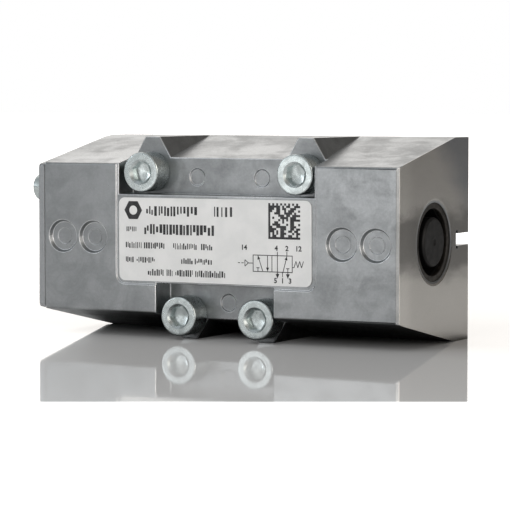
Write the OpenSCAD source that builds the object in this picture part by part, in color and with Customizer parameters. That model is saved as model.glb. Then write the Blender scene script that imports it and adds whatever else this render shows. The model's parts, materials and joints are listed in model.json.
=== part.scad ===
// 5/2 directional spool valve for a flat sub-base, air piloted at port 14, with a return spring at port 12.
// X runs along the spool. The mounting face is the plane y = 0 and +Y points out of it.
// Z runs across the two rows of mounting screws. The origin is the middle of the mounting face.

/* [Body] */
// Length of the casting along the spool
body_len = 82.6; // [80:0.2:90]
// Depth from the mounting face to the label face
body_depth = 33.8; // [33.6:0.1:36]
// Height across the flange at the mounting face
flange_h = 41.8; // [41.4:0.2:45]
// Depth of the flange's straight edge
flange_t = 7; // [6:0.5:9]
// Height of the label face, at the narrow end of the taper
face_h = 30.7; // [30.5:0.1:33]
// Distance of the casting's middle from the middle port, towards the spring end
body_shift = 0.2; // [0:0.05:0.4]
// Corner radius of the upright front edge at the pilot end
end_edge_r = 0.3; // [0.2:0.05:0.5]
// Chamfer of the upright front edge at the spring end
end_chamfer = 0.55; // [0.4:0.05:0.8]

/* [Label] */
// Width of the middle section that carries the label
pad_w = 46.6; // [46.4:0.2:50]
// Distance of the label pad's lower edge below the bore
pad_low = 9.5; // [9.3:0.1:9.8]
// Depth of the middle section below the end blocks
pad_depth = 0.3; // [0.25:0.05:0.4]
// Width of the label
label_w = 45; // [40:0.1:45.5]
// Height of the label
label_h = 17.2; // [15:0.1:17.5]

/* [Mounting screws] */
// Nominal thread diameter
screw_d = 5; // [4.8:0.1:5]
// Diameter of the cap head
head_d = 8.5; // [8.3:0.1:8.5]
// Height of the cap head
head_h = 5; // [4.8:0.1:5.2]
// Width across the flats of the hex socket
socket_af = 4; // [3.5:0.1:4.2]
// Length of the screws under the head
screw_len = 35; // [32:1:40]
// Diameter of the waist between head and thread
screw_waist_d = 4; // [3.8:0.1:4.2]
// Depth of the head recesses from the label face
seat_depth = 6; // [5.5:0.25:6.5]
// Distance between the two screws of the upper row
upper_pitch = 36; // [35.5:0.25:36.5]
// Height of the upper row above the bore
upper_z = 13.6; // [13.5:0.1:14]
// Distance between the two screws of the lower row
lower_pitch = 18; // [17.5:0.25:18]
// Depth of the lower row below the bore
lower_z = 15.9; // [15.7:0.1:16.1]
// Width of the upper screw recess
upper_recess_w = 45.7; // [45.5:0.1:46]
// Width of the lower screw recess
lower_recess_w = 27.6; // [27.4:0.2:29]

/* [Spool and seals] */
// Diameter of the bore that holds the seals
bore_d = 16; // [15.8:0.1:16]
// Distance of the bore's axis from the label face
bore_from_front = 16.7; // [16.3:0.1:17]
// Distance from one port to the next along the bore
port_pitch = 9; // [8.9:0.1:9]
// Width of each seal along the bore
seal_w = 3; // [2.8:0.1:3.2]
// Diameter of the spool's lands
land_d = 9; // [8.6:0.1:9.2]
// Diameter of the spool's waists
waist_d = 5.5; // [4.5:0.1:6]
// Travel of the spool
stroke = 4; // [3:0.25:4]

/* [Ports] */
// Length of each port slot along the bore
port_w = 6.5; // [5:0.1:6.5]
// Height of each port slot
port_h = 8.5; // [6:0.1:8.5]
// Distance of the port slots' near edges from the middle plane
port_gap = 1.75; // [1.7:0.05:1.9]
// Diameter of the two pilot ports
pilot_port_d = 3; // [2.5:0.1:3]

/* [Pilot end] */
// Bore of the pilot cylinder
pilot_bore_d = 18; // [17.5:0.1:18.4]
// Thickness of the end cover
cover_t = 1.4; // [1.3:0.1:2]
// Thickness of the cover's gasket
cover_gasket_t = 0.2; // [0.2:0.05:0.4]
// How far the cover's edge is inside the casting's edge
cover_inset = 0.3; // [0.2:0.1:0.6]

/* [Spring end] */
// Wire diameter of the return spring
wire_d = 0.9; // [0.7:0.1:1]
// Mean diameter of the return spring's coils
coil_d = 9.5; // [9:0.1:9.8]
// Number of turns, closed end turns included
coil_turns = 4.6; // [4.2:0.1:4.8]
// Diameter of the plug's middle boss
plug_boss_d = 10.1; // [9.5:0.1:11]
// Inner diameter of the retaining ring
ring_id = 13.6; // [13:0.1:14]

/* [Hidden] */
$fn = 64;
cut = 0.01;                                     // overrun of a cutter past the face that it opens
slip = 0.05;                                    // clearance of a sliding or loosely fitted piece
left_x = body_shift - body_len / 2;              // pilot end of the casting
right_x = body_shift + body_len / 2;            // spring end of the casting
front_y = -body_depth;                          // label face of the end blocks
seat_y = front_y + seat_depth;                  // plane on which the screw heads sit
pad_y = front_y + pad_depth;                    // face of the middle section
pad_top = 9.05;                                 // lower wall of the upper recess
pad_bottom = -9.15;                             // upper wall of the lower recess
axis_y = front_y + bore_from_front;             // bore axis
bore_r = bore_d / 2;
pilot_r = pilot_bore_d / 2;
seal_count = 6;
seal_x = [for (i = [0 : seal_count - 1]) (i - 2.5) * port_pitch];
port_x = [for (i = [-2 : 2]) i * port_pitch];
stack_end_x = 2.5 * port_pitch + seal_w / 2;    // outer faces of the seal stack
chamber_r = bore_r + 1.2;                       // annular chamber round each port
cast_r = 0.5;                                   // edge radius of the casting's profile
boss_top_w = 3.5;                               // width of a screw boss at the flange edge
boss_flank = 31;                                // slope of a boss's flanks from upright, in degrees
hole_d = screw_d + 0.5;
wall_x = -stack_end_x - 4.5;                    // pilot side of the wall between bore and pilot cylinder
guide_r = land_d / 2 + 0.4;                     // hole in that wall
cover_x = left_x - cover_gasket_t;              // inner face of the cover
pilot_port_x = 30;
pilot_port_z = 5;
drill_y = -4.5;                                 // pilot passage along the body
drill_r = 1.2;
cover_screw_z = 10;
cover_screw_y = 11.5;                           // offset from the bore axis
cover_screw_d = 3;
cover_screw_len = 10;
mark_d = 6.9;                                   // round cast marks beside the label
mark_floor_d = 6;
mark_depth = 0.8;
mark_x = [29, 36.5];
pin_mark_d = 3.5;                               // ejector marks in the screw recesses
gasket_t = 1.2;
gasket_rim = 1.2;                               // rubber round each port
notch_w = 2.5;                                  // notch in the flange at the spring end
notch_len = 6;
notch_depth = 6.5;
spool_left = wall_x - stroke - 0.05;            // left end of the spool at rest
spool_right = stack_end_x + 0.6;
spigot_len = 1.4;
piston_left = cover_x + slip;
piston_disc_w = 6;
lip_groove_r = 7;
plug_x = stack_end_x + 9.5;                     // inner face of the end plug
plug_pocket = 2;
plug_len = 6.6;
ring_x = plug_x + plug_len + slip;
ring_t = 1;
ring_groove_r = bore_r + 0.7;
spring_seat_t = 1;
closed_turns = 0.8;                             // turns of the spring that lie flat at each end
closed_pitch = 1.05 * wire_d;
spring_x0 = spool_right + spring_seat_t + wire_d / 2;
spring_x1 = plug_x + plug_pocket - wire_d / 2;
o_ring_groove_r = 6.35;
o_ring_d = 1.6;

// ---- Outline helpers ----

function unit(v) = v / norm(v);

// Points on the round that joins the two sides at corner b, between its neighbours a and c
function corner_arc(a, b, c, r, steps) =
    let (u = unit(a - b), v = unit(c - b))
    let (half = acos(u * v) / 2)
    let (centre = b + unit(u + v) * r / sin(half))
    let (from = b + u * r / tan(half) - centre, to = b + v * r / tan(half) - centre)
    let (start = atan2(from[1], from[0]), turn = atan2(to[1], to[0]) - start)
    let (sweep = turn > 180 ? turn - 360 : turn < -180 ? turn + 360 : turn)
    [for (i = [0 : steps]) centre + r * [cos(start + sweep * i / steps), sin(start + sweep * i / steps)]];

// A closed outline with every corner rounded, each to its own radius
function rounded(points, radii, steps = 5) =
    let (n = len(points))
    [for (i = [0 : n - 1])
        each corner_arc(points[(i + n - 1) % n], points[i], points[(i + 1) % n], radii[i], steps)];

// End view of the casting, moved in by inset on every side, as points (y, z)
function casting_outline(inset) =
    let (back = flange_h / 2 - inset, front = face_h / 2 - inset)
    [[-inset, -back], [-inset, back], [-flange_t, back], [front_y + inset, front],
        [front_y + inset, -front], [-flange_t, -back]];

// ---- Placing helpers ----

// Extrudes a (y, z) outline from x0 to x1
module along_x(x0, x1) {
    translate([x0, 0, 0]) rotate([90, 0, 90]) linear_extrude(x1 - x0) children();
}

// Extrudes an (x, z) outline from y0 to y1
module along_y(y0, y1) {
    translate([0, y1, 0]) rotate([90, 0, 0]) linear_extrude(y1 - y0) children();
}

// A round bar on the bore axis
module bore_bar(r, x0, x1) {
    translate([x0, axis_y, 0]) rotate([0, 90, 0]) cylinder(r = r, h = x1 - x0);
}

// A cone on the bore axis
module bore_cone(r0, r1, x0, x1) {
    translate([x0, axis_y, 0]) rotate([0, 90, 0]) cylinder(r1 = r0, r2 = r1, h = x1 - x0);
}

// Turns a profile of points (x, r) about the bore axis
module turned_on_axis(points) {
    translate([0, axis_y, 0]) rotate([0, 90, 0]) rotate_extrude()
        polygon([for (p = points) [p[1], p[0]]]);
}

// A round bar along Y at (x, z)
module cross_bar(r, x, z, y0, y1) {
    translate([x, y1, z]) rotate([90, 0, 0]) cylinder(r = r, h = y1 - y0);
}

module rounded_rect(w, h, r) {
    square([w - 2 * r, h], center = true);
    square([w, h - 2 * r], center = true);
    for (sx = [-1, 1], sz = [-1, 1])
        translate([sx * (w / 2 - r), sz * (h / 2 - r)]) circle(r);
}

// Places children at the four mounting screws: (x, z) of each
module at_mounting_screws() {
    for (side = [-1, 1]) {
        translate([side * upper_pitch / 2, 0, upper_z]) children();
        translate([side * lower_pitch / 2, 0, -lower_z]) children();
    }
}

// Places children at the two cover screws, on a diagonal across the bore
module at_cover_screws() {
    for (side = [-1, 1])
        translate([cover_x, axis_y - side * cover_screw_y, side * cover_screw_z]) rotate([0, -90, 0]) children();
}

// ---- Valve body ----

// The solid casting before any recess
module casting_blank() {
    plan = [[left_x, 0], [right_x, 0], [right_x, front_y + end_chamfer], [right_x - end_chamfer, front_y],
        [left_x, front_y]];
    intersection() {
        along_x(left_x, right_x)
            polygon(rounded(casting_outline(0), [0.4, 0.4, 2, cast_r, cast_r, 2]));
        translate([0, 0, -flange_h / 2])
            linear_extrude(flange_h) polygon(rounded(plan, [0.4, 0.4, 0.2, 0.2, end_edge_r]));
    }
}

// Wedge under one screw head, from the seat back to the flange
module screw_boss(x, side) {
    run = flange_h / 2 - 10;
    spread = run * tan(boss_flank);
    outline = [[boss_top_w / 2, flange_h / 2], [boss_top_w / 2 + spread, flange_h / 2 - run],
        [-boss_top_w / 2 - spread, flange_h / 2 - run], [-boss_top_w / 2, flange_h / 2]];
    along_y(seat_y, -cut) translate([x, 0])
        polygon([for (p = outline) [p[0], side * p[1]]]);
}

// Lowered middle section and the recesses that the upper and lower screw heads stand in
module front_recesses() {
    tall = flange_h;
    along_y(front_y - 1, pad_y) {
        rounded_rect(pad_w, 2 * pad_low, 2);
        translate([-pad_w / 2, 0]) square([pad_w, tall]);
    }
    along_y(front_y - 1, seat_y)
        translate([-upper_recess_w / 2, pad_top]) square([upper_recess_w, tall]);
    along_y(front_y - 1, seat_y)
        translate([-lower_recess_w / 2, pad_bottom - tall]) square([lower_recess_w, tall]);
}

// Round marks that the die's core and ejector pins leave
module cast_marks() {
    for (side = [-1, 1], x = mark_x) {
        translate([side * x, front_y + mark_depth, 0])
            rotate([90, 0, 0]) cylinder(d1 = mark_floor_d, d2 = mark_d, h = mark_depth + cut);
        cross_bar(1.7, side * x, 0, front_y, front_y + mark_depth + 0.08);
    }
    for (side = [-1, 1])
        cross_bar(pin_mark_d / 2, 0.3 + side * 7.6, 12.6, seat_y - 1, seat_y + 0.25);
    cross_bar(pin_mark_d / 2, 0.1, -13.1, seat_y - 1, seat_y + 0.25);
}

// Everything bored along the spool axis
module bores() {
    bore_bar(bore_r, -stack_end_x, right_x + 1);
    for (x = port_x)
        bore_bar(chamber_r, x - (port_pitch - seal_w) / 2, x + (port_pitch - seal_w) / 2);
    bore_bar(guide_r, wall_x - cut, -stack_end_x + cut);
    bore_bar(pilot_r, left_x - 1, wall_x);
    bore_bar(ring_groove_r, ring_x - slip, ring_x + ring_t + slip);
    bore_cone(bore_r, bore_r + 0.9, right_x - 0.15, right_x + cut);
}

// Slots of the five main ports, larger by grow on every side: 4 and 2 above the middle plane, 5, 1 and 3 below it
module port_slots(grow, y0, y1) {
    for (i = [0 : 4]) {
        side = i % 2 == 0 ? -1 : 1;
        along_y(y0, y1)
            translate([port_x[i], side * (port_gap + port_h / 2)])
                rounded_rect(port_w + 2 * grow, port_h + 2 * grow, 1 + grow);
    }
}

// Passages of the two pilot ports
module pilot_passages() {
    cross_bar(pilot_port_d / 2, -pilot_port_x, pilot_port_z, drill_y - drill_r - 0.6, 1);
    translate([left_x - 1, drill_y, pilot_port_z])
        rotate([0, 90, 0]) cylinder(r = drill_r, h = 1 - left_x - pilot_port_x);
    cross_bar(pilot_port_d / 2, pilot_port_x, pilot_port_z, axis_y + 4, 1);
}

// Seat of the base gasket: rims round the ports, webs between them and arms to the pilot ports
module gasket_shape(y0, y1) {
    port_slots(gasket_rim, y0, y1);
    for (i = [0 : 3])
        along_y(y0, y1)
            translate([(port_x[i] + port_x[i + 1]) / 2, 0]) square([2, 5], center = true);
    for (side = [-1, 1]) {
        cross_bar(pilot_port_d / 2 + gasket_rim, side * pilot_port_x, pilot_port_z, y0, y1);
        along_y(y0, y1)
            translate([side * (pilot_port_x / 2 + port_pitch), 2.5]) rotate(side * 45) square([11, 1.6], center = true);
    }
}

// T-shaped notch in the flange at the spring end
module flange_notch() {
    translate([right_x - notch_len, -notch_depth, -notch_w / 2])
        cube([notch_len + 1, notch_depth + 1, notch_w]);
    translate([right_x - notch_len, -notch_depth, -notch_w / 2 - 0.6])
        cube([notch_len + 1, 0.8, notch_w + 1.2]);
}

module valve_body() {
    color([0.62, 0.63, 0.64]) difference() {
        union() {
            difference() {
                casting_blank();
                front_recesses();
            }
            for (side = [-1, 1]) {
                screw_boss(side * upper_pitch / 2, 1);
                screw_boss(side * lower_pitch / 2, -1);
            }
        }
        cast_marks();
        bores();
        port_slots(0, axis_y + 5.5, 1);
        pilot_passages();
        gasket_shape(-gasket_t, 1);
        flange_notch();
        at_mounting_screws() cross_bar(hole_d / 2, 0, 0, seat_y - 1, 1);
        at_cover_screws() translate([0, 0, -cover_screw_len - 0.5]) cylinder(d = cover_screw_d, h = 11);
    }
}

// ---- Pieces on the outside ----

// Stuck on by hand, so a little off centre and a little turned
module label_plate() {
    color([0.83, 0.83, 0.83]) along_y(pad_y - 0.2, pad_y)
        translate([-0.15, -0.15]) rotate(0.2) rounded_rect(label_w, label_h, 1.4);
}

// Waisted cap screw with its seat at z = 0 and its thread towards -z, past the mounting face
module cap_screw(turn) {
    chamfer = 0.25;
    thread_top = seat_y - 0.4;
    socket_r = socket_af / 2 / cos(30);
    difference() {
        union() {
            rotate_extrude() polygon([[0, 0], [head_d / 2 - 0.2, 0], [head_d / 2, 0.2], [head_d / 2, head_h - chamfer],
                [head_d / 2 - chamfer, head_h], [0, head_h]]);
            translate([0, 0, thread_top]) cylinder(d = screw_waist_d, h = 0.5 - thread_top);
            translate([0, 0, thread_top]) cylinder(d1 = screw_d, d2 = screw_waist_d, h = 0.5);
            translate([0, 0, 0.6 - screw_len]) cylinder(d = screw_d, h = screw_len + thread_top - 0.6);
            translate([0, 0, -screw_len]) cylinder(d1 = screw_d - 1.2, d2 = screw_d, h = 0.6);
        }
        rotate(turn) translate([0, 0, head_h - 2.5]) cylinder(r = socket_r, h = 3, $fn = 6);
        translate([0, 0, head_h - 3.3]) cylinder(d1 = 0.4, d2 = socket_af, h = 0.8 + cut);
        translate([0, 0, head_h - 0.45]) cylinder(d1 = socket_af - 0.1, d2 = 2 * socket_r + 0.5, h = 0.45 + cut);
    }
}

module mounting_screws() {
    turns = [[12, 38], [50, 27]];
    color([0.75, 0.79, 0.8]) for (i = [0, 1]) {
        side = 2 * i - 1;
        translate([side * upper_pitch / 2, seat_y, upper_z]) rotate([90, 0, 0]) cap_screw(turns[i][0]);
        translate([side * lower_pitch / 2, seat_y, -lower_z]) rotate([90, 0, 0]) cap_screw(turns[i][1]);
    }
}

module base_gasket() {
    color([0.12, 0.12, 0.13]) difference() {
        gasket_shape(-gasket_t, 0);
        port_slots(0, -gasket_t - 1, 1);
        for (side = [-1, 1])
            cross_bar(pilot_port_d / 2, side * pilot_port_x, pilot_port_z, -gasket_t - 1, 1);
    }
}

// Groove in the cover that leads the pilot air from its passage to the pilot cylinder
module pilot_groove() {
    reach = 10;
    depth = 0.8;
    translate([cover_x - depth, drill_y - reach, pilot_port_z - drill_r]) cube([depth + 1, reach, 2 * drill_r]);
    for (y = [drill_y, drill_y - reach])
        translate([cover_x - depth, y, pilot_port_z]) rotate([0, 90, 0]) cylinder(r = drill_r, h = depth + 1);
}

module end_cover() {
    color([0.68, 0.69, 0.7]) difference() {
        along_x(cover_x - cover_t, cover_x)
            polygon(rounded(casting_outline(cover_inset), [0.8, 0.8, 2, 0.8, 0.8, 2]));
        at_cover_screws() translate([0, 0, -1]) cylinder(d = cover_screw_d + 0.4, h = cover_t + 2);
        pilot_groove();
    }
}

module cover_gasket() {
    color([0.15, 0.15, 0.15]) difference() {
        along_x(cover_x, left_x)
            polygon(rounded(casting_outline(cover_inset + 0.1), [0.8, 0.8, 2, 0.8, 0.8, 2]));
        bore_bar(pilot_r, cover_x - 1, left_x + 1);
        translate([cover_x - 1, drill_y, pilot_port_z]) rotate([0, 90, 0]) cylinder(r = drill_r, h = 3);
        at_cover_screws() translate([0, 0, -2]) cylinder(d = cover_screw_d + 0.4, h = 4);
    }
}

// Small cap screws with a hex socket
module cover_screws() {
    cap_r = 2.75;
    cap_h = 3;
    rim = [for (i = [0 : 4]) [cap_r - 0.35 * (1 - cos(i * 22.5)), cap_h - 0.35 * (1 - sin(i * 22.5))]];
    color([0.75, 0.79, 0.8]) at_cover_screws() translate([0, 0, cover_t]) difference() {
        union() {
            rotate_extrude() polygon(concat([[0, 0], [cap_r - 0.1, 0], [cap_r, 0.1]], rim, [[0, cap_h]]));
            translate([0, 0, -cover_screw_len]) cylinder(r = cover_screw_d / 2 - slip, h = cover_screw_len + 0.1);
        }
        rotate(10) translate([0, 0, cap_h - 1.5]) cylinder(d = 2.5 / cos(30), h = 2, $fn = 6);
    }
}

// ---- Pilot end ----

module pilot_piston() {
    disc_r = pilot_r - 0.08;
    x0 = piston_left;
    x1 = x0 + piston_disc_w;
    x2 = spool_left - slip;
    color([0.9, 0.88, 0.8]) turned_on_axis([[x0 + 1.2, 0], [x0 + 1.2, 5], [x0, 5.6], [x0, disc_r - 0.4],
        [x0 + 0.4, disc_r], [x0 + 1.8, disc_r], [x0 + 1.8, lip_groove_r], [x0 + 4.4, lip_groove_r],
        [x0 + 4.4, disc_r], [x1 - 0.3, disc_r], [x1, disc_r - 0.3], [x1, 5.6], [x2 - 0.4, 5.6], [x2, 5.2], [x2, 0]]);
}

// Lip seal that faces the pilot air
module piston_seal() {
    lip_r = pilot_r - 0.02;
    x0 = piston_left + 1.85;
    x1 = piston_left + 4.35;
    color([0.1, 0.1, 0.1]) turned_on_axis([[x0, lip_groove_r], [x0, lip_groove_r + 0.5], [x0 + 1.1, lip_groove_r + 0.9],
        [x0, lip_r - 0.2], [x0 + 0.15, lip_r], [x0 + 0.7, lip_r], [x1, lip_r - 0.35], [x1, lip_groove_r]]);
}

// ---- Spool and seal stack ----

module spool() {
    land = land_d / 2;
    waist = waist_d / 2;
    ease = 0.8;
    waist_a = [-1.5 * port_pitch - 3, -0.5 * port_pitch - 1];
    waist_b = [0.5 * port_pitch - 3, 1.5 * port_pitch - 1];
    end = spool_right + spigot_len;
    color([0.72, 0.74, 0.78]) turned_on_axis([[spool_left, 0], [spool_left, land - 0.5], [spool_left + 0.5, land],
        [waist_a[0], land], [waist_a[0] + ease, waist], [waist_a[1] - ease, waist], [waist_a[1], land],
        [waist_b[0], land], [waist_b[0] + ease, waist], [waist_b[1] - ease, waist], [waist_b[1], land],
        [spool_right, land], [spool_right, 3], [end - 0.4, 3], [end, 2.6], [end, 0]]);
}

// Ring seal clamped between spacers, with its lip on the spool
module bore_seal(i) {
    outer = bore_r - 0.01;
    lip = land_d / 2 + slip;
    x = seal_x[i];
    half = seal_w / 2;
    color([0.1, 0.1, 0.1]) turned_on_axis([[x - half, outer], [x - half, 5.9], [x - 0.5, 5.4], [x - 0.4, lip],
        [x + 0.4, lip], [x + 0.5, 5.4], [x + half, 5.9], [x + half, outer]]);
}

// Slotted cage that holds two seals apart and lets the air through
module bore_spacer(i) {
    windows = 6;
    half = (port_pitch - seal_w) / 2;
    x = port_x[i];
    color([0.85, 0.72, 0.3]) difference() {
        bore_bar(bore_r - slip, x - half, x + half);
        bore_bar(5.6, x - half - 1, x + half + 1);
        for (k = [0 : windows / 2 - 1])
            translate([x, axis_y, 0]) rotate([k * 360 / windows, 0, 0])
                cube([2 * half - 2.4, 4 * bore_r, 3.6], center = true);
    }
}

// Sleeve that clamps the stack and holds the spring, with a window for the pilot port
module clamp_sleeve() {
    color([0.85, 0.72, 0.3]) difference() {
        bore_bar(bore_r - slip, stack_end_x, plug_x);
        bore_bar(6.4, stack_end_x - 1, plug_x + 1);
        cross_bar(2, pilot_port_x, pilot_port_z, axis_y, 0);
    }
}

// ---- Spring end ----

module spring_seat() {
    x0 = spool_right;
    x1 = x0 + spring_seat_t;
    color([0.7, 0.7, 0.72]) turned_on_axis([[x0, 3 + slip], [x0, 6.1], [x1 + 1, 6.1], [x1 + 1, 5.6], [x1, 5.6],
        [x1, 3 + slip]]);
}

// Place of the spring's centreline along the bore after t turns
function coil_x(t) =
    let (rise = closed_turns * closed_pitch)
    let (pitch = (spring_x1 - spring_x0 - 2 * rise) / (coil_turns - 2 * closed_turns))
    t < closed_turns ? spring_x0 + t * closed_pitch
    : t > coil_turns - closed_turns ? spring_x1 - (coil_turns - t) * closed_pitch
    : spring_x0 + rise + (t - closed_turns) * pitch;

module return_spring() {
    sides = 10;
    rings = 110;
    points = [for (i = [0 : rings], k = [0 : sides - 1])
        let (t = i / rings * coil_turns, a = 360 * t, b = 360 * k / sides)
        let (r = coil_d / 2 + wire_d / 2 * cos(b))
        [coil_x(t) + wire_d / 2 * sin(b), axis_y + r * cos(a), r * sin(a)]];
    walls = [for (i = [0 : rings - 1], k = [0 : sides - 1])
        let (a = i * sides + k, b = i * sides + (k + 1) % sides)
        each [[a, b, b + sides], [a, b + sides, a + sides]]];
    first = [for (k = [sides - 1 : -1 : 0]) k];
    last = [for (k = [0 : sides - 1]) rings * sides + k];
    color([0.6, 0.62, 0.65]) polyhedron(points, concat([first], walls, [last]));
}

module end_plug() {
    outer = bore_r - 0.1;
    x0 = plug_x;
    floor_x = x0 + 3.4;
    rim_x = x0 + plug_len;
    boss_x = right_x;
    boss_r = plug_boss_d / 2;
    color([0.13, 0.13, 0.14]) turned_on_axis([[x0 + plug_pocket, 0], [x0 + plug_pocket, 5.6], [x0, 5.6], [x0, outer],
        [x0 + 0.6, outer], [x0 + 0.6, o_ring_groove_r], [x0 + 2.4, o_ring_groove_r], [x0 + 2.4, outer],
        [rim_x, outer], [rim_x, ring_id / 2], [floor_x, ring_id / 2], [floor_x, boss_r], [boss_x - 0.4, boss_r],
        [boss_x, boss_r - 0.4], [boss_x, 0.7], [boss_x - 0.2, 0.5], [boss_x - 0.2, 0]]);
}

module plug_o_ring() {
    color([0.1, 0.1, 0.1]) translate([plug_x + 1.5, axis_y, 0]) rotate([0, 90, 0])
        rotate_extrude() translate([o_ring_groove_r + o_ring_d / 2 + 0.02, 0]) circle(d = o_ring_d);
}

module retaining_ring() {
    color([0.2, 0.2, 0.2]) difference() {
        bore_bar(ring_groove_r - slip, ring_x, ring_x + ring_t);
        bore_bar(ring_id / 2, ring_x - 1, ring_x + ring_t + 1);
    }
}

valve_body();
label_plate();
mounting_screws();
base_gasket();
end_cover();
cover_gasket();
cover_screws();
pilot_piston();
piston_seal();
spool();
bore_seal(0);  // seal_1
bore_seal(1);  // seal_2
bore_seal(2);  // seal_3
bore_seal(3);  // seal_4
bore_seal(4);  // seal_5
bore_seal(5);  // seal_6
bore_spacer(0);  // spacer_1
bore_spacer(1);  // spacer_2
bore_spacer(2);  // spacer_3
bore_spacer(3);  // spacer_4
bore_spacer(4);  // spacer_5
clamp_sleeve();
spring_seat();
return_spring();
end_plug();
plug_o_ring();
retaining_ring();
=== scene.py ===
"""Looks of the air-piloted directional spool valve: finished meshes, materials, floor, light and camera.

Everything is in metres in the part's own frame: X along the spool, Y out of the mounting face, Z up.
"""
import json
import math
import random

import bmesh
import bpy
from mathutils import Matrix, Vector


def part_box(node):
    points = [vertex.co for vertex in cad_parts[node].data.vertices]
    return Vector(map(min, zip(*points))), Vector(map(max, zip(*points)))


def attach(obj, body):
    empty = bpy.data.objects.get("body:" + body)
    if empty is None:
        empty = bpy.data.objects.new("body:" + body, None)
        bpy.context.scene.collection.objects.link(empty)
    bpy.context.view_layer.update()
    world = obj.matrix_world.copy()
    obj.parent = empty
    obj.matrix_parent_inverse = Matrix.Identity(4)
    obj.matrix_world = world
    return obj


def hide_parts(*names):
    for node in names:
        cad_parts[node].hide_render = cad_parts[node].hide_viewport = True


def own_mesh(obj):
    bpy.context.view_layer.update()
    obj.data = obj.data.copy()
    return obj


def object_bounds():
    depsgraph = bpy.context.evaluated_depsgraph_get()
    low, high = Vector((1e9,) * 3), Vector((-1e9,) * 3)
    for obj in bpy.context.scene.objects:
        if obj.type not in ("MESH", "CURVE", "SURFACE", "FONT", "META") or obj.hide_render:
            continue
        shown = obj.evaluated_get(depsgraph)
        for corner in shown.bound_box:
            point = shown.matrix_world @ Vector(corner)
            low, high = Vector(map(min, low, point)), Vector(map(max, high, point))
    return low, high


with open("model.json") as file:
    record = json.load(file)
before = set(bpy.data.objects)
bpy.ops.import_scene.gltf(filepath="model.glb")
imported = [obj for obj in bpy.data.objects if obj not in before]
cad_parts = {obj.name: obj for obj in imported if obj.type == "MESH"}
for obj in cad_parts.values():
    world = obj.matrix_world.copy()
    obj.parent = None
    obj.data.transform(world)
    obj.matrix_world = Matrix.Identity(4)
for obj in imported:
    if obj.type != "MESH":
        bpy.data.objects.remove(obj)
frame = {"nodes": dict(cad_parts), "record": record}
cad_low, cad_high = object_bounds()
nodes = frame["nodes"]
scene = bpy.context.scene

MM = 0.001
FLOOR_Z = cad_low.z
END_X = cad_high.x
FRONT_Y = cad_low.y


# ---- Camera ----

LENS_MM = 170.25
SENSOR_MM = 36
CAMERA_PLACE = (0.24275, -0.4579, 0.02885)
CAMERA_AIM = (-0.48075, 0.87446, -0.06487)


def make_camera():
    """Long lens, 29 degrees to the right of the front face and a little above it."""
    data = bpy.data.cameras.new("camera")
    data.lens = LENS_MM
    data.sensor_width = SENSOR_MM
    data.clip_start = 0.05
    data.clip_end = 20
    camera = bpy.data.objects.new("camera", data)
    scene.collection.objects.link(camera)
    camera.location = CAMERA_PLACE
    camera.rotation_mode = "QUATERNION"
    camera.rotation_quaternion = Vector(CAMERA_AIM).to_track_quat("-Z", "Y")
    scene.camera = camera


make_camera()


# ---- Node graph helpers ----

class Graph:
    """Builds the nodes of one material or world in few words."""

    def __init__(self, tree):
        self.tree = tree
        tree.nodes.clear()

    def add(self, kind, inputs=None, **settings):
        made = self.tree.nodes.new("ShaderNode" + kind)
        for key, value in settings.items():
            setattr(made, key, value)
        for key, value in (inputs or {}).items():
            if isinstance(value, bpy.types.NodeSocket):
                self.tree.links.new(value, made.inputs[key])
            else:
                made.inputs[key].default_value = value
        return made

    def place(self, stretch=(1, 1, 1)):
        """Position in the piece's frame, in metres; a stretch below 1 draws a pattern out along that axis."""
        spot = self.add("TexCoord").outputs["Object"]
        if stretch == (1, 1, 1):
            return spot
        return self.add("VectorMath", {0: spot, 1: stretch}, operation="MULTIPLY").outputs[0]

    def split(self, vector):
        """The x, y and z of a vector."""
        return self.add("SeparateXYZ", {0: vector}).outputs

    def dot(self, vector, direction):
        made = self.add("VectorMath", {0: vector, 1: direction}, operation="DOT_PRODUCT")
        return made.outputs["Value"]

    def noise(self, vector, size, detail=3.0, roughness=0.55, distortion=0.0):
        """Noise whose features are about size metres across."""
        made = self.add("TexNoise", {"Vector": vector, "Scale": 1 / size, "Detail": detail,
                                     "Roughness": roughness, "Distortion": distortion})
        return made.outputs["Fac"]

    def ramp(self, value, low, high, out_low=0.0, out_high=1.0, smooth=True):
        """Maps low..high to out_low..out_high and holds the ends."""
        made = self.add("MapRange", {"Value": value, "From Min": low, "From Max": high,
                                     "To Min": out_low, "To Max": out_high},
                        interpolation_type="SMOOTHSTEP" if smooth else "LINEAR")
        return made.outputs["Result"]

    def math(self, operation, a, b=0.0):
        return self.add("Math", {0: a, 1: b}, operation=operation).outputs[0]

    def times(self, a, b):
        return self.math("MULTIPLY", a, b)

    def total(self, *values):
        level = values[0]
        for value in values[1:]:
            level = self.math("ADD", level, value)
        return level

    def mix(self, factor, a, b, blend="MIX"):
        """Mixes two colours."""
        made = self.add("Mix", {"Factor": factor}, data_type="RGBA", blend_type=blend)
        for socket, value in ((made.inputs[6], a), (made.inputs[7], b)):
            if isinstance(value, bpy.types.NodeSocket):
                self.tree.links.new(value, socket)
            else:
                socket.default_value = (*value, 1)
        return made.outputs[2]

    def by_ray(self, others, seen):
        """One shader for what the camera sees directly and another for light and reflections."""
        direct = self.add("LightPath").outputs["Is Camera Ray"]
        return self.add("MixShader", {0: direct, 1: others, 2: seen}).outputs[0]

    def grey(self, value):
        return self.add("CombineColor", {0: value, 1: value, 2: value}).outputs[0]

    def bump(self, height, distance, strength=1.0, normal=None):
        inputs = {"Height": height, "Distance": distance, "Strength": strength}
        if normal is not None:
            inputs["Normal"] = normal
        return self.add("Bump", inputs).outputs["Normal"]


def new_material(name):
    made = bpy.data.materials.new(name)
    made.use_nodes = True
    return made, Graph(made.node_tree)


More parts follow.
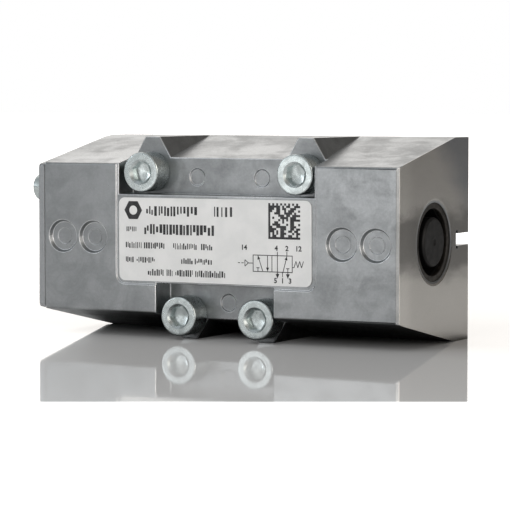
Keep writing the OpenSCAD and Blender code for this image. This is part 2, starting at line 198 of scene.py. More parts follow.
def surface(graph, **inputs):
    """Ends a material with a Principled shader; keys are its socket names with _ for spaces."""
    shader = graph.add("BsdfPrincipled", {k.replace("_", " "): v for k, v in inputs.items()})
    output = graph.add("OutputMaterial")
    graph.tree.links.new(shader.outputs[0], output.inputs["Surface"])


def scaled(colour, factor):
    return tuple(factor * c for c in colour)


# ---- Materials ----

STAIN = (0.38, 0.6)                 # levels of the stain noise between which a stain fades in
MILLED_IN = 0.1 * MM                # the milled look and its painted light start this far behind the end plane
LIT_END_LOW, SHADED_END_MIDDLE, LIT_END_HIGH = 2.0, 0.70, 1.6     # painted light and shade on the end face by height, as multiples of end_shade
END_FAR_TOP_REFLECTION = (0.38, 0.395, 0.42)   # a painted reflection in its upper rear corner, almost as pale as the casting


def milled_end_with_painted_light(g, place, colour, roughness, end_shade):
    """Lays the milled face at the spring end over a colour and roughness, with light and shade painted on by
    height: pale below, dark round the bore, a painted reflection in the upper rear corner.
    """
    x, y, z = g.split(place)
    milled = g.ramp(x, END_X - MILLED_IN, END_X - MILLED_IN / 2)
    streak = g.noise(g.place((1, 0.3, 1)), 7 * MM, 4, 0.6)
    height = g.math("ADD", z, g.ramp(streak, 0.3, 0.7, -3 * MM, 3 * MM, smooth=False))
    # masks of the painted light: lit below the bore, lit above it, and a painted reflection in the upper rear
    # corner
    low_part = g.ramp(height, -2 * MM, -10 * MM)
    high_part = g.ramp(height, 3 * MM, 9 * MM)
    far_top_reflection = g.times(g.ramp(g.math("ADD", height, y), -1 * MM, 12 * MM), 0.9)
    # painted light and shade by height, then the painted reflection in the upper rear corner
    shade = g.mix(low_part, scaled(end_shade, SHADED_END_MIDDLE), scaled(end_shade, LIT_END_LOW))
    shade = g.mix(high_part, shade, scaled(end_shade, LIT_END_HIGH))
    shade = g.mix(far_top_reflection, shade, END_FAR_TOP_REFLECTION)
    smooth = g.ramp(streak, 0.3, 0.7, 0.25, 0.21)
    roughness = g.total(g.times(roughness, g.math("SUBTRACT", 1.0, milled)), g.times(smooth, milled))
    return g.mix(milled, colour, shade), roughness


def cast_metal(name, shade, patch=0.1, grain=0.01, rough=0.34, end_shade=None, deep=1.0):
    """Die-cast or rolled aluminium: soft stains, faint flow lines, fine grain and a slightly uneven skin.

    Well behind the front face the colour is multiplied by deep, a painted shade for the recesses. With
    end_shade, the spring end is milled and gets painted light and shade by height.
    """
    made, g = new_material(name)
    place = g.place()
    patches = g.noise(place, 6 * MM, 5, 0.6, 0.8)
    clouds = g.noise(place, 17 * MM, 3, 0.5, 0.5)
    flow = g.noise(g.place((0.25, 1, 1)), 2.2 * MM, 4, 0.6, 0.4)
    fine = g.noise(place, 0.4 * MM, 4, 0.7)
    stain = g.total(g.times(patches, 0.5), g.times(clouds, 0.3), g.times(flow, 0.2))
    colour = g.mix(g.ramp(stain, *STAIN), scaled(shade, 1 - patch), scaled(shade, 1 + patch))
    roughness = g.total(g.ramp(stain, *STAIN, rough + 0.05, rough - 0.04),
                        g.ramp(fine, 0.3, 0.7, 0.03, -0.03))
    if end_shade:
        colour, roughness = milled_end_with_painted_light(g, place, colour, roughness, end_shade)
    # painted shade: faces from 2 mm to 8 mm behind the front face darken step by step down to deep
    depth = g.ramp(g.split(place)[1], FRONT_Y + 2 * MM, FRONT_Y + 8 * MM, 1.0, deep)
    speck = g.times(depth, g.ramp(fine, 0.35, 0.7, 0.94, 1.04))
    colour = g.mix(1.0, colour, g.grey(speck), "MULTIPLY")
    normal = g.bump(clouds, 0.08 * MM, 0.5)
    normal = g.bump(patches, 0.02 * MM, 0.5, normal)
    normal = g.bump(fine, grain * MM, 0.5, normal)
    surface(g, Base_Color=colour, Metallic=1.0, Roughness=roughness, Normal=normal)
    return made


def plated_steel(name, shade, rough=0.26):
    """Bright zinc plating: a slightly blue grey with a fine frosted grain and faint stains."""
    made, g = new_material(name)
    place = g.place()
    stain = g.noise(place, 1.6 * MM, 5, 0.65, 0.5)
    fine = g.noise(place, 0.2 * MM, 3, 0.7)
    colour = g.mix(g.ramp(stain, 0.36, 0.6), scaled(shade, 0.78), shade)
    roughness = g.total(g.ramp(stain, 0.3, 0.7, rough + 0.08, rough - 0.04),
                        g.ramp(fine, 0.3, 0.7, 0.05, -0.04))
    normal = g.bump(stain, 0.012 * MM, 0.7)
    normal = g.bump(fine, 0.004 * MM, 0.8, normal)
    surface(g, Base_Color=colour, Metallic=1.0, Roughness=roughness, Normal=normal)
    return made


def plain_skin(name, dark, light, rough, size=2.0, grain=0.15, metallic=0.0, depth=0.012, wave=0.03, **extra):
    """Moulded plastic, rubber, foil or blackened steel: two close shades, uneven gloss and a fine skin.

    Patches are size mm across and wave mm deep, the grain is grain mm across and depth mm deep.
    """
    made, g = new_material(name)
    place = g.place()
    patches = g.noise(place, size * MM, 4, 0.6, 0.3)
    fine = g.noise(place, grain * MM, 3, 0.65)
    colour = g.mix(g.ramp(patches, 0.32, 0.68), dark, light)
    roughness = g.total(g.ramp(patches, 0.3, 0.7, rough + 0.06, rough - 0.04),
                        g.ramp(fine, 0.3, 0.7, 0.04, -0.04))
    normal = g.bump(patches, wave * MM, 0.5)
    normal = g.bump(fine, depth * MM, 0.8, normal)
    surface(g, Base_Color=colour, Metallic=metallic, Roughness=roughness, Normal=normal, **extra)
    return made


def turned_metal(name, shade, rough=0.26, groove=0.12):
    """Metal turned about the bore's axis: fine rings across X."""
    made, g = new_material(name)
    place = g.place()
    along = g.split(place)[0]
    rings = g.noise(g.add("CombineXYZ", {0: along}).outputs[0], groove * MM, 3, 0.7)
    patches = g.noise(place, 2.4 * MM, 4, 0.6)
    colour = g.mix(g.ramp(patches, 0.3, 0.7), scaled(shade, 0.7), shade)
    roughness = g.total(g.ramp(patches, 0.3, 0.7, rough + 0.07, rough - 0.05),
                        g.ramp(rings, 0.3, 0.7, 0.05, -0.04))
    normal = g.bump(rings, 0.008 * MM, 0.8)
    surface(g, Base_Color=colour, Metallic=1.0, Roughness=roughness, Normal=normal)
    return made


# the casting: deep is the painted shade behind the front face, end_shade the colour under the milled end's
# painted light
CASTING = cast_metal("cast_aluminium", (0.415, 0.43, 0.44), patch=0.14, deep=0.84,
                     end_shade=(0.45, 0.435, 0.41))
# rounded edges and the bore mouth's chamfer: a much paler metal, partly wear and partly a painted highlight
WORN_EDGE_AND_HIGHLIGHT = cast_metal("worn_edge_and_highlight", (0.88, 0.90, 0.92), patch=0.12, rough=0.32)
COVER = cast_metal("cover_aluminium", (0.50, 0.515, 0.53), patch=0.06, grain=0.006, rough=0.33)
ZINC = plated_steel("zinc_plating", (0.80, 0.87, 0.87))
FOIL = plain_skin("label_foil", (0.74, 0.745, 0.74), (0.80, 0.80, 0.795), 0.4, 5.0, 0.12, depth=0.002,
                  wave=0.01)
INK = plain_skin("label_ink", (0.018, 0.018, 0.02), (0.035, 0.035, 0.037), 0.4, 1.0, 0.1, depth=0.002)
RUBBER = plain_skin("nitrile_rubber", (0.012, 0.012, 0.013), (0.026, 0.026, 0.027), 0.52, 1.6, 0.12)
GASKET = plain_skin("gasket_sheet", (0.13, 0.135, 0.13), (0.2, 0.205, 0.2), 0.75, 0.8, 0.1)
BLACK_PLASTIC = plain_skin("black_plastic", (0.004, 0.004, 0.004), (0.007, 0.007, 0.007), 0.42, 1.5, 0.1,
                           Specular_IOR_Level=0.3)
BLACK_STEEL = plain_skin("phosphated_steel", (0.020, 0.018, 0.015), (0.045, 0.040, 0.034), 0.42, 0.9, 0.1,
                         metallic=0.5)
SPOOL = turned_metal("anodised_spool", (0.50, 0.51, 0.53))
SPACER = plain_skin("spacer_plastic", (0.055, 0.075, 0.10), (0.08, 0.105, 0.14), 0.42, 2.0, 0.12)
PISTON = plain_skin("piston_plastic", (0.50, 0.49, 0.45), (0.62, 0.61, 0.56), 0.4, 2.0, 0.12)
SPRING = turned_metal("spring_steel", (0.42, 0.42, 0.43), 0.3, 0.3)

# Material of each CAD piece and the width in mm of its rounded edges
LOOKS = {
    "valve_body": (CASTING, 0.12), "end_cover": (COVER, 0.15), "label_plate": (FOIL, 0.03),
    "mounting_screws": (ZINC, 0.12), "cover_screws": (ZINC, 0.05), "base_gasket": (RUBBER, 0.1),
    "cover_gasket": (GASKET, 0.03), "end_plug": (BLACK_PLASTIC, 0.15), "retaining_ring": (BLACK_STEEL, 0.12),
    "plug_o_ring": (RUBBER, 0), "pilot_piston": (PISTON, 0.15), "piston_seal": (RUBBER, 0.05),
    "spool": (SPOOL, 0.1), "clamp_sleeve": (SPACER, 0.12), "spring_seat": (SPRING, 0.08),
    "return_spring": (SPRING, 0.05),
}


def look_of(name):
    if name.startswith("seal_"):
        return RUBBER, 0.05
    if name.startswith("spacer_"):
        return SPACER, 0.12
    return LOOKS[name]


# ---- Finishing of the CAD pieces ----

WELD_GAP = 0.002 * MM
FLAT_ANGLE = math.radians(1)        # facets that meet at less than this are one plane
SHARP_ANGLE = math.radians(35)
BEVEL_SEGMENTS = 3


def add_bevel(piece, width, limit, clamp):
    bevel = piece.modifiers.new("rounding", "BEVEL")
    bevel.limit_method = limit
    bevel.angle_limit = SHARP_ANGLE
    bevel.width = width
    bevel.segments = BEVEL_SEGMENTS
    bevel.use_clamp_overlap = clamp
    return bevel


def add_even_shading(piece, keep_sharp):
    normals = piece.modifiers.new("even_shading", "WEIGHTED_NORMAL")
    normals.keep_sharp = keep_sharp
    normals.weight = 80


def round_edges(piece, width):
    """Joins the imported facets, then rounds every sharp edge by modifiers, leaving the mesh itself alone."""
    weld = piece.modifiers.new("weld", "WELD")
    weld.merge_threshold = WELD_GAP
    flat = piece.modifiers.new("flat_faces", "DECIMATE")
    flat.decimate_type = "DISSOLVE"
    flat.angle_limit = FLAT_ANGLE
    if width:
        add_bevel(piece, width, "ANGLE", clamp=True)
    add_even_shading(piece, keep_sharp=False)


def finish_nodes():
    for name, piece in nodes.items():
        look, width = look_of(name)
        piece.data.materials.clear()
        piece.data.materials.append(look)
        round_edges(piece, width * MM)


finish_nodes()


# ---- Casting ----

WORN_W = 0.75 * MM                  # rounding of the most worn edge
PLAIN_EDGE = 0.24                   # the other edges' rounding, as shares of WORN_W
MARK_EDGE = 0.12
EDGE_ANGLE = math.radians(33)       # flatter edges than this stay as they are
BORE_Y = (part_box("spool")[0].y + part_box("spool")[1].y) / 2
BORE_EDGE_R = 9.2 * MM
REAR_Y = -2 * MM                    # behind this plane lie the gasket's seat and the ports
FLANGE_FRONT_Y, FLANGE_Z = -10 * MM, 18 * MM
NOTCH_X, NOTCH_Y, NOTCH_Z = 35 * MM, -9 * MM, 3 * MM
FACE_BACK_Y = FRONT_Y + 1.5 * MM    # edges ahead of this plane belong to the front face
MARK_X, MARK_Z = 24 * MM, 4 * MM
MOUTH_X = END_X - 0.3 * MM
MOUTH_SLOPE = (0.2, 0.95)           # x of the normal on the chamfer round the bore's mouth, which is painted pale as a highlight


def near_bore(point):
    return math.hypot(point.y - BORE_Y, point.z) < BORE_EDGE_R


def wear(edge):
    """Share of WORN_W that an edge is rounded by, and so painted pale as wear and highlight; ports, bore,
    notch and rear corners stay sharp.
    """
    if len(edge.link_faces) != 2 or edge.calc_face_angle(0) < EDGE_ANGLE:
        return 0.0
    a, b = (v.co for v in edge.verts)
    middle = (a + b) / 2
    rear, far = max(a.y, b.y), max(abs(a.z), abs(b.z))
    if rear > REAR_Y or (rear > FLANGE_FRONT_Y and far > FLANGE_Z):
        return 0.0
    if middle.x > NOTCH_X and abs(middle.z) < NOTCH_Z and middle.y > NOTCH_Y:
        return 0.0
    on_front = middle.y < FACE_BACK_Y
    if near_bore(middle) and middle.y > FACE_BACK_Y:
        return 0.0
    upright = abs(a.z - b.z) > 2 * MM
    if upright and on_front and middle.x > END_X - 1 * MM:
        return 1.0
    if on_front and abs(middle.z) < MARK_Z and abs(middle.x) > MARK_X:
        return MARK_EDGE
    return PLAIN_EDGE


def make_casting():
    """The body with rounded edges painted pale, as wear and a highlight; the upright one between front and
    spring end is worn most.
    """
    bm = bmesh.new()
    bm.from_mesh(nodes["valve_body"].data)
    bmesh.ops.remove_doubles(bm, verts=bm.verts, dist=WELD_GAP)
    bmesh.ops.dissolve_limit(bm, angle_limit=FLAT_ANGLE, verts=bm.verts, edges=bm.edges)
    weight = bm.edges.layers.float.new("bevel_weight_edge")
    for edge in bm.edges:
        edge[weight] = wear(edge)
    # the chamfer round the bore's mouth gets the pale edge material as a painted highlight
    for face in bm.faces:
        middle = face.calc_center_median()
        at_mouth = middle.x > MOUTH_X and near_bore(middle)
        sloped = MOUTH_SLOPE[0] < abs(face.normal.x) < MOUTH_SLOPE[1]
        face.material_index = 1 if at_mouth and sloped else 0
    casting = new_piece("casting", bm, CASTING, sharp_deg=1)
    casting.data.materials.append(WORN_EDGE_AND_HIGHLIGHT)
    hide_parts("valve_body")
    bevel = add_bevel(casting, WORN_W, "WEIGHT", clamp=False)
    # the rounded faces get the pale edge material: wear and a painted highlight
    bevel.material = 1
    add_even_shading(casting, keep_sharp=True)


# ---- Mounting screws ----

HEAD_R = 4.1 * MM
HEAD_H = 5 * MM
RIM_R = 0.34 * MM                   # rounding of the head's upper edge
RIM_STEPS = 5
SCREW_TIP_Y = cad_high.y
SOCKET_AF = 4 * MM
SOCKET_DEPTH = 2.1 * MM
SOCKET_FLOOR_R = 1.8 * MM           # the drill's cone starts here and ends at DRILL_TIP_R
DRILL_DEPTH = 2.6 * MM
DRILL_TIP_R = 0.02 * MM
ENTRY_R = 2.62 * MM                 # countersink round the socket
ENTRY_SLOPE = 0.75
HEAD_CHAMFER = 0.2 * MM             # under the head
WAIST_R = 2 * MM
THREAD_R = 2.5 * MM
THREAD_PITCH = 0.8 * MM
THREAD_DEPTH = 0.44 * MM
THREAD_START_Y = 0.4 * MM
THREAD_LEAD = 0.5 * MM              # length over which the thread rises from the waist
TIP_CHAMFER = 0.6 * MM
FLANK_SLOPE, CREST_SHARE = 2.6, 0.15
SCREW_SIDES = 96
# Degrees by which the sockets of each row are turned, left screw first
SOCKET_TURNS = {"upper_screw_ends": (12, 50), "lower_screw_ends": (38, 27)}


def hex_radius(angle, flats=SOCKET_AF):
    step = math.radians(60)
    return flats / 2 / math.cos((angle + step / 2) % step - step / 2)


def screw_rings(seat_y, turn):
    """Rings of (radius, y) as functions of the angle, from the socket's bottom over the head to the tip."""
    top = seat_y - HEAD_H

    def ring(radius, y):
        return lambda a: (radius, y)

    def entry(a):
        radius = hex_radius(a - turn)
        return radius, top + (ENTRY_R - radius) * ENTRY_SLOPE

    def wall(a):
        return hex_radius(a - turn), top + SOCKET_DEPTH

    rings = [ring(DRILL_TIP_R, top + DRILL_DEPTH), ring(SOCKET_FLOOR_R, top + SOCKET_DEPTH + 0.02 * MM), wall,
             entry, ring(ENTRY_R, top), ring(HEAD_R - RIM_R - 0.35 * MM, top)]
    rings += [ring(HEAD_R - RIM_R * (1 - math.sin(t)), top + RIM_R * (1 - math.cos(t)))
              for t in (math.radians(90 / RIM_STEPS * i) for i in range(RIM_STEPS + 1))]
    rings += [ring(HEAD_R, seat_y - HEAD_CHAMFER), ring(HEAD_R - HEAD_CHAMFER, seat_y), ring(WAIST_R, seat_y),
              ring(WAIST_R, THREAD_START_Y - 0.1 * MM)]
    steps = int((SCREW_TIP_Y - THREAD_START_Y) / (THREAD_PITCH / 8))

    def thread(y):
        def at(a):
            phase = ((y - THREAD_START_Y) / THREAD_PITCH - a / math.tau) % 1
            depth = THREAD_DEPTH * min(1, max(0, FLANK_SLOPE * abs(phase - 0.5) - CREST_SHARE))
            lead = min(1, (y - THREAD_START_Y) / THREAD_LEAD)
            end = min(1, max(0, (SCREW_TIP_Y - y) / TIP_CHAMFER))
            crest = THREAD_R - TIP_CHAMFER * (1 - end) - (THREAD_R - WAIST_R) * (1 - lead)
            return min(crest, max(THREAD_R - depth, WAIST_R)), y
        return at

    rings += [thread(THREAD_START_Y + (SCREW_TIP_Y - THREAD_START_Y) * i / steps) for i in range(steps + 1)]
    return rings


def skin(mesh, rows):
    """Closes rows of vertices, each a loop with as many points, into a solid."""
    count = len(rows[0])
    for a, b in zip(rows, rows[1:]):
        for i in range(count):
            j = (i + 1) % count
            mesh.faces.new((a[i], a[j], b[j], b[i]))
    mesh.faces.new(rows[0][::-1])
    mesh.faces.new(rows[-1])


def lathe(mesh, centre_x, centre_z, rings, sides):
    """Adds a closed body of rings about a line along Y through (centre_x, centre_z)."""
    rows = []
    for ring in rings:
        row = []
        for i in range(sides):
            angle = math.tau * i / sides
            radius, y = ring(angle)
            x, z = centre_x + radius * math.cos(angle), centre_z + radius * math.sin(angle)
            row.append(mesh.verts.new((x, y, z)))
        rows.append(row)
    skin(mesh, rows)


def new_piece(name, bm, material, body="housing", sharp_deg=32):
    """Turns a bmesh into a shown piece that rides on a body."""
    bmesh.ops.recalc_face_normals(bm, faces=bm.faces)
    mesh = bpy.data.meshes.new(name)
    bm.to_mesh(mesh)
    bm.free()
    mesh.materials.append(material)
    mesh.polygons.foreach_set("use_smooth", [True] * len(mesh.polygons))
    mesh.set_sharp_from_angle(angle=math.radians(sharp_deg))
    piece = bpy.data.objects.new(name, mesh)
    scene.collection.objects.link(piece)
    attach(piece, body)
    return piece


def named(rows, name):
    """The row of the record with this name."""
    return next(row for row in rows if row["name"] == name)


def make_screws():
    """The four mounting screws with sockets and threads, placed by the record's mounts."""
    seat_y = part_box("mounting_screws")[0].y + HEAD_H
    bm = bmesh.new()
    for name, pair in SOCKET_TURNS.items():
        row = named(frame["record"]["mounts"], name)
        centre = row["pos_m"]
        half = row["dims"]["spacing_x_mm"] * MM / 2
        for side, turn in zip((-1, 1), pair):
            rings = screw_rings(seat_y, math.radians(turn))
            lathe(bm, centre[0] + side * half, centre[2], rings, SCREW_SIDES)
    screws = new_piece("cap_screws", bm, ZINC)
    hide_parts("mounting_screws")


make_casting()
make_screws()


# ---- Return spring ----

WIRE_D = 0.9 * MM
WIRE_SIDES = 14
TURN_STEPS = 48
COIL_TURNS = 4.6
CLOSED_TURNS = 0.8
CLOSED_PITCH = 1.05 * WIRE_D


def make_spring():
    """One round wire with closed end turns, along the bore."""
    low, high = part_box("return_spring")
    axis_y = BORE_Y
    coil_r = (high.z - low.z) / 2 - WIRE_D / 2
    start, end = low.x + WIRE_D / 2, high.x - WIRE_D / 2
    rise = CLOSED_TURNS * CLOSED_PITCH
    pitch = (end - start - 2 * rise) / (COIL_TURNS - 2 * CLOSED_TURNS)
    steps = round(COIL_TURNS * TURN_STEPS)
    bm = bmesh.new()
    rows = []
    for i in range(steps + 1):
        turn = COIL_TURNS * i / steps
        if turn < CLOSED_TURNS:
            x = start + turn * CLOSED_PITCH
        elif turn > COIL_TURNS - CLOSED_TURNS:
            x = end - (COIL_TURNS - turn) * CLOSED_PITCH
        else:
            x = start + rise + (turn - CLOSED_TURNS) * pitch
        angle = math.tau * turn
        row = []
        for k in range(WIRE_SIDES):
            around = math.tau * k / WIRE_SIDES
            radius = coil_r + WIRE_D / 2 * math.cos(around)
            row.append(bm.verts.new((x + WIRE_D / 2 * math.sin(around), axis_y + radius * math.cos(angle),
                                     radius * math.sin(angle))))
        rows.append(row)
    skin(bm, rows)
    spring = new_piece("spring_wire", bm, SPRING)
    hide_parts("return_spring")
    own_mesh(spring)


make_spring()


# ---- Print on the label ----

LABEL_LOW, LABEL_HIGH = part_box("label_plate")
LABEL_TILT = math.radians(0.2)
LABEL_W, LABEL_H = 45.0, 17.2       # in mm
LABEL_CENTRE = (LABEL_LOW + LABEL_HIGH) / 2 + Vector((0.25 * MM, 0, 0))
INK_T = 0.015 * MM
LINE_W = 0.16                       # lines of the circuit symbol, in mm
DIGIT_H = 0.98
DIGIT_SHARE = 0.69                  # height of a digit against the font's size
DIGIT_SWELL = 0.045 * MM            # makes the thin font bolder


class Print:
    """Thin closed shapes on the label, placed in millimetres from its upper left corner: u right, v down."""

    def __init__(self):
        self.bm = bmesh.new()

    def shape(self, points):
        """A flat shape with a thickness; points run round its outline."""
        front, back = LABEL_LOW.y - INK_T, LABEL_LOW.y
        near = [self.bm.verts.new((u * MM, front, -v * MM)) for u, v in points]
        far = [self.bm.verts.new((u * MM, back, -v * MM)) for u, v in points]
        self.bm.faces.new(near)
        self.bm.faces.new(far[::-1])
        for i in range(len(points)):
            j = (i + 1) % len(points)
            self.bm.faces.new((near[j], near[i], far[i], far[j]))

    def box(self, u0, u1, v0, v1):
        self.shape([(u0, v0), (u1, v0), (u1, v1), (u0, v1)])

    def line(self, u0, v0, u1, v1, width=LINE_W):
        along = Vector((u1 - u0, v1 - v0)).normalized() * width / 2
        side = Vector((-along.y, along.x))
        a, b = Vector((u0, v0)), Vector((u1, v1))
        self.shape([(p.x, p.y) for p in (a - side, b - side, b + side, a + side)])

    def path(self, *points, width=LINE_W):
        for a, b in zip(points, points[1:]):
            self.line(*a, *b, width=width)

    def frame(self, u0, u1, v0, v1):
        half = LINE_W / 2
        self.box(u0 - half, u1 + half, v0 - half, v0 + half)
        self.box(u0 - half, u1 + half, v1 - half, v1 + half)
        self.box(u0 - half, u0 + half, v0 + half, v1 - half)
        self.box(u1 - half, u1 + half, v0 + half, v1 - half)

    def arrow(self, u, v, du, dv, size=0.75):
        """A solid arrow head with its tip at (u, v), pointing along (du, dv)."""
        along = Vector((du, dv)).normalized() * size
        side = Vector((-along.y, along.x)) * 0.45
        tip = Vector((u, v))
        self.shape([(p.x, p.y) for p in (tip, tip - along + side, tip - along - side)])

    def band(self, outer, inner):
        """A ring between two outlines with as many points each."""
        for i in range(len(outer)):
            j = (i + 1) % len(outer)
            self.shape([outer[i], outer[j], inner[j], inner[i]])

    def strokes(self, u0, u1, v0, v1, weight, gap, ragged, draw):
        """A word's rhythm without letters: upright strokes of uneven width and height."""
        u = u0
        while u < u1 - 0.5 * weight:
            width = min(weight * draw.uniform(0.7, 1.5), u1 - u)
            height = v1 - v0
            top = v0 + (height * ragged * draw.random() if draw.random() < 0.45 else 0)
            bottom = v1 - (height * ragged * draw.random() if draw.random() < 0.35 else 0)
            self.box(u, u + width, top, bottom)
            u += width + gap * draw.uniform(0.7, 1.5)

    def number(self, text, u, v):
        """A port number, centred at (u, v)."""
        curve = bpy.data.curves.new("number", "FONT")
        curve.body = text
        curve.size = DIGIT_H * MM / DIGIT_SHARE
        curve.align_x = "CENTER"
        curve.extrude = INK_T / 2
        curve.offset = DIGIT_SWELL
        maker = bpy.data.objects.new("number", curve)
        scene.collection.objects.link(maker)
        mesh = bpy.data.meshes.new_from_object(maker.evaluated_get(bpy.context.evaluated_depsgraph_get()))
        move = Matrix.Translation((u * MM, LABEL_LOW.y - INK_T / 2, -(v + DIGIT_H / 2) * MM))
        mesh.transform(move @ Matrix.Rotation(math.pi / 2, 4, "X"))
        self.bm.from_mesh(mesh)
        bpy.data.objects.remove(maker)
        bpy.data.curves.remove(curve)
        bpy.data.meshes.remove(mesh)

    def finish(self, name):
        corner = Matrix.Translation((-LABEL_W / 2 * MM, 0, LABEL_H / 2 * MM))
        centre = Matrix.Translation((LABEL_CENTRE.x, 0, LABEL_CENTRE.z))
        self.bm.transform(centre @ Matrix.Rotation(-LABEL_TILT, 4, "Y") @ corner)
        piece = new_piece(name, self.bm, INK)


def round_points(u, v, radius, count):
    return [(u + radius * math.sin(math.tau * i / count), v - radius * math.cos(math.tau * i / count))
            for i in range(count)]


def print_emblem(art):
    """A plain hexagonal nut: its centre, width across flats and hole in mm."""
    u, v, flats, hole_r, count = 3.25, 2.6, 3.7, 0.95, 48
    outer = []
    for i in range(count):
        angle = math.tau * i / count
        radius = hex_radius(angle, flats)
        outer.append((u + radius * math.sin(angle), v - radius * math.cos(angle)))
    art.band(outer, round_points(u, v, hole_r, count))


def print_words(art, draw):
    """Rows of strokes: u and v ranges, stroke width, gap and raggedness of each word."""
    art.strokes(6.4, 19.0, 1.7, 3.7, 0.42, 0.30, 0.45, draw)
    art.strokes(22.5, 27.0, 1.55, 3.6, 0.34, 0.46, 0.1, draw)
    art.strokes(1.6, 4.2, 6.0, 7.0, 0.2, 0.2, 0.4, draw)
    art.strokes(5.9, 22.8, 5.4, 7.5, 0.46, 0.22, 0.4, draw)
    for u0, u1, bold in ((1.4, 5.2, 0), (5.8, 10.7, 1), (12.8, 18.4, 0), (19.4, 22.1, 1)):
        art.strokes(u0, u1, 9.2, 10.45, (0.21, 0.28)[bold], (0.2, 0.17)[bold], 0.4, draw)
    for u0, u1 in ((1.4, 3.5), (4.0, 8.6), (14.7, 17.4), (17.9, 22.1)):
        art.strokes(u0, u1, 12.25, 13.4, 0.25, 0.18, 0.4, draw)
    for u0, u1 in ((6.7, 10.6), (11.2, 12.6), (13.3, 17.4), (18.0, 25.0)):
        art.strokes(u0, u1, 14.65, 16.0, 0.27, 0.17, 0.35, draw)


def print_code(art, draw):
    """A square of random cells with a solid left and lower border."""
    cells, u0, v0, size = 16, 35.0, 0.6, 7.2
    cell = size / cells
    art.box(u0, u0 + cell, v0, v0 + size)
    art.box(u0 + cell, u0 + size, v0 + size - cell, v0 + size)
    for row in range(cells - 1):
        for column in range(1, cells):
            edge = row == 0 or column == cells - 1
            dark = (row + column) % 2 == 0 if edge else draw.random() < 0.5
            if dark:
                u, v = u0 + column * cell, v0 + row * cell
                art.box(u, u + cell, v, v + cell)


def print_symbol(art):
    """Circuit symbol of a 5/2 valve with an air pilot on the left and a return spring on the right.

    The pilot's triangle and the spring's zigzag swing to either side of the middle line.
    """
    top, low = 11.1, 14.4
    left, middle_u, right = 31.5, 35.8, 40.4
    middle = (top + low) / 2
    swing = 0.65
    art.frame(left, right, top, low)
    art.line(middle_u, top, middle_u, low)
    art.line(32.6, top + 0.1, 33.7, low - 0.1)
    art.arrow(32.6, top + 0.1, -0.3, -1)
    art.line(34.8, top + 0.1, 34.8, low - 0.1)
    art.arrow(34.8, low - 0.1, 0, 1)
    for u in (32.6, 39.4):
        art.line(u, low - 0.75, u, low)
        art.line(u - 0.35, low - 0.75, u + 0.35, low - 0.75)
    art.line(37.05, 10.3, 37.05, 15.0)
    art.line(39.2, 10.3, 39.2, top)
    art.line(39.2, top + 0.1, 38.3, low)
    art.arrow(39.2, top + 0.1, 0.3, -1)
    art.line(38.2, low, 38.2, 15.4)
    art.line(39.4, low, 39.4, 15.0)
    for u in (37.05, 39.4):
        art.arrow(u, 15.7, 0, 1, 0.95)
    art.line(30.4, middle, left, middle)
    foot, peak = (29.6, middle - swing), (29.6, middle + swing)
    art.path(foot, (30.4, middle), peak, foot, width=0.15)
    for u in (28.0, 28.8):
        art.line(u, middle, u + 0.5, middle)
    zigzag = [(right + 0.42 * i, middle + (swing if i % 2 else -swing)) for i in range(1, 7)]
    art.path((right, middle + swing), *zigzag, width=0.15)
    for text, u, v in (("14", 29.4, 9.6), ("4", 36.8, 9.6), ("2", 39.2, 9.6), ("12", 41.8, 9.6),
                       ("5", 36.6, 16.1), ("1", 38.2, 16.1), ("3", 39.9, 16.1)):
        art.number(text, u, v)


def make_print():
    draw = random.Random(7)
    art = Print()
    print_emblem(art)
    print_words(art, draw)
    print_code(art, draw)
    print_symbol(art)
    art.finish("label_print")


make_print()


# ---- Floor and light ----

FLOOR_HALF = 6.0
FLANGE_Y = -6 * MM                  # ahead of this plane the floor's painted shadow fades out, as its emission rises
LIT_UNDER_X = 24 * MM               # beyond this, under the pilot end, the floor is pale as well, without the painted shadow
SHADE_W = 0.012                     # width over which the painted shadow under the object fades out
TABLE_AHEAD = (0.4818, -0.8763, 0.0)
TABLE_EDGE = 0.1235                 # straight end of the gloss, from the origin along TABLE_AHEAD
EDGE_W = 0.003
# emission ahead of the flange, which fades out the painted shadow near the object
SHADOW_FADE_GLOW = 0.10
WHITE = 1.2


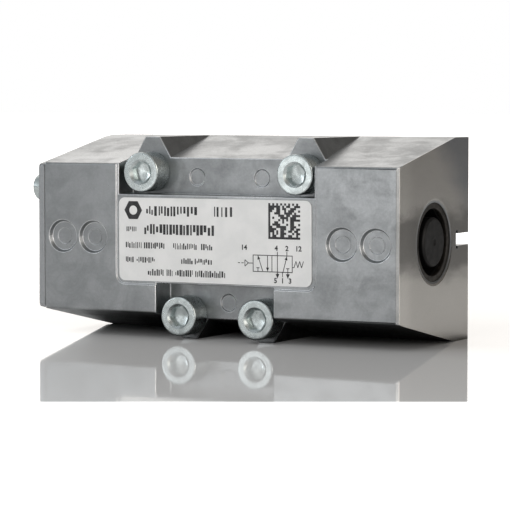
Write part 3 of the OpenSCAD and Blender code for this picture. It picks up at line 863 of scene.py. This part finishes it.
def make_floor():
    """A plain pale glossy table, white ahead of the object, with painted shadow: dark under the object in
    what the object reflects, and darker near it where the camera sees it.
    """
    mesh = bpy.data.meshes.new("floor")
    half = FLOOR_HALF
    corners = [(-half, -half, FLOOR_Z), (half, -half, FLOOR_Z), (half, half, FLOOR_Z), (-half, half, FLOOR_Z)]
    mesh.from_pydata(corners, [], [(0, 1, 2, 3)])
    floor = bpy.data.objects.new("floor", mesh)
    scene.collection.objects.link(floor)
    made, g = new_material("pale_gloss")
    place = g.place()
    x, y, _ = g.split(place)
    half_depth = -cad_low.y / 2
    beside = g.math("MAXIMUM", g.math("SUBTRACT", x, END_X), g.math("SUBTRACT", -LIT_UNDER_X, x))
    beyond = g.math("SUBTRACT", g.math("ABSOLUTE", g.math("SUBTRACT", y, -half_depth)), half_depth)
    # painted shadow where the camera sees the floor: its emission rises from nothing 4 mm ahead of the flange
    # plane to full 36 mm ahead
    shadow_fade = g.ramp(g.math("SUBTRACT", FLANGE_Y, y), 0.004, 0.036, 0.0, SHADOW_FADE_GLOW)
    white = g.ramp(g.dot(place, TABLE_AHEAD), TABLE_EDGE, TABLE_EDGE + EDGE_W, 0.0, WHITE)
    away = g.ramp(g.add("VectorMath", {0: place}, operation="LENGTH").outputs["Value"], 0.1, 0.4, 0.0, 0.5)
    gloss = g.add("BsdfPrincipled", {"Base Color": (0.6, 0.6, 0.6, 1), "Roughness": 0.04, "IOR": 1.5,
                                     "Emission Color": (1, 1, 1, 1),
                                     "Emission Strength": g.total(shadow_fade, white, away)})
    # painted shadow in what the object reflects and in bounced light: the floor is dark under the object and
    # pale beyond it
    shade = g.grey(g.ramp(g.math("MAXIMUM", beside, beyond), 0.0, SHADE_W, 0.07, 0.62))
    painted_shadow_matt = g.add("BsdfDiffuse", {"Color": shade}).outputs[0]
    g.add("OutputMaterial", {"Surface": g.by_ray(painted_shadow_matt, gloss.outputs[0])})
    mesh.materials.append(made)


def area_light(name, place, target, size, radiance, diffuse=True, gloss=True):
    data = bpy.data.lights.new(name, "AREA")
    data.shape = "RECTANGLE"
    data.size, data.size_y = size
    data.energy = radiance * math.pi * size[0] * size[1]
    light = bpy.data.objects.new(name, data)
    light.location = place
    light.rotation_mode = "QUATERNION"
    light.rotation_quaternion = (Vector(target) - Vector(place)).to_track_quat("-Z", "Y")
    light.visible_camera = False
    light.visible_diffuse = diffuse
    light.visible_glossy = gloss
    scene.collection.objects.link(light)


# Soft panels of the room: direction, cosines at which a panel starts and is full, brightness
PANELS = [
    ((-0.48, 0.87, 0.06), 0.88, 0.975, 1.4),      # behind the object as the camera sees it, low
    ((-0.66, 0.50, 0.62), 0.80, 0.96, 0.62),      # rear left, high
    ((-0.50, -0.66, 0.56), 0.95, 0.99, 0.45),     # front left, high and small
    ((-0.10, -0.45, 0.89), 0.50, 0.90, 0.24),     # overhead, towards the front
    ((-0.69, -0.69, 0.19), 0.985, 0.995, 2.6),    # front left, low, the smallest and brightest
    ((0.95, -0.30, 0.05), 0.74, 0.92, 1.8),       # right
    ((0.48, 0.87, 0.20), 0.90, 0.98, 0.08),       # rear right, faint
    ((0.0, 0.3, 0.95), 0.35, 0.9, 0.12),          # overhead, wide and faint
]
ROOM_DIM = 0.05                     # brightness of the room between the panels


def make_world():
    """White where the camera looks past the object, and a soft room of light panels for everything else."""
    world = bpy.data.worlds.new("studio")
    scene.world = world
    world.use_nodes = True
    g = Graph(world.node_tree)
    towards = g.add("TexCoord").outputs["Generated"]
    levels = [g.ramp(g.dot(towards, Vector(direction).normalized()[:]), start, full, 0.0, level)
              for direction, start, full, level in PANELS]
    x, y, _ = g.split(towards)
    tint = g.mix(g.ramp(y, -0.4, 0.4), (0.96, 1.0, 1.03), (1.03, 1.0, 0.965))
    tint = g.mix(g.ramp(x, 0.0, 0.5), tint, (1.06, 1.0, 0.93))
    colour = g.mix(1.0, tint, g.grey(g.total(*levels, ROOM_DIM)), "MULTIPLY")
    room = g.add("Background", {"Color": colour, "Strength": 1.0}).outputs[0]
    white = g.add("Background", {"Color": (1, 1, 1, 1), "Strength": 1.0}).outputs[0]
    g.add("OutputWorld", {"Surface": g.by_ray(room, white)})


make_floor()
make_world()
area_light("front_card", (-0.055, -0.20, 0.003), (0.03, -0.034, 0), (0.09, 0.12), 0.74, diffuse=False)
area_light("soft_fill", (-0.1, -0.6, 0.5), (0, -0.03, 0), (0.5, 0.5), 4.0, gloss=False)
scene.view_settings.view_transform = "Standard"
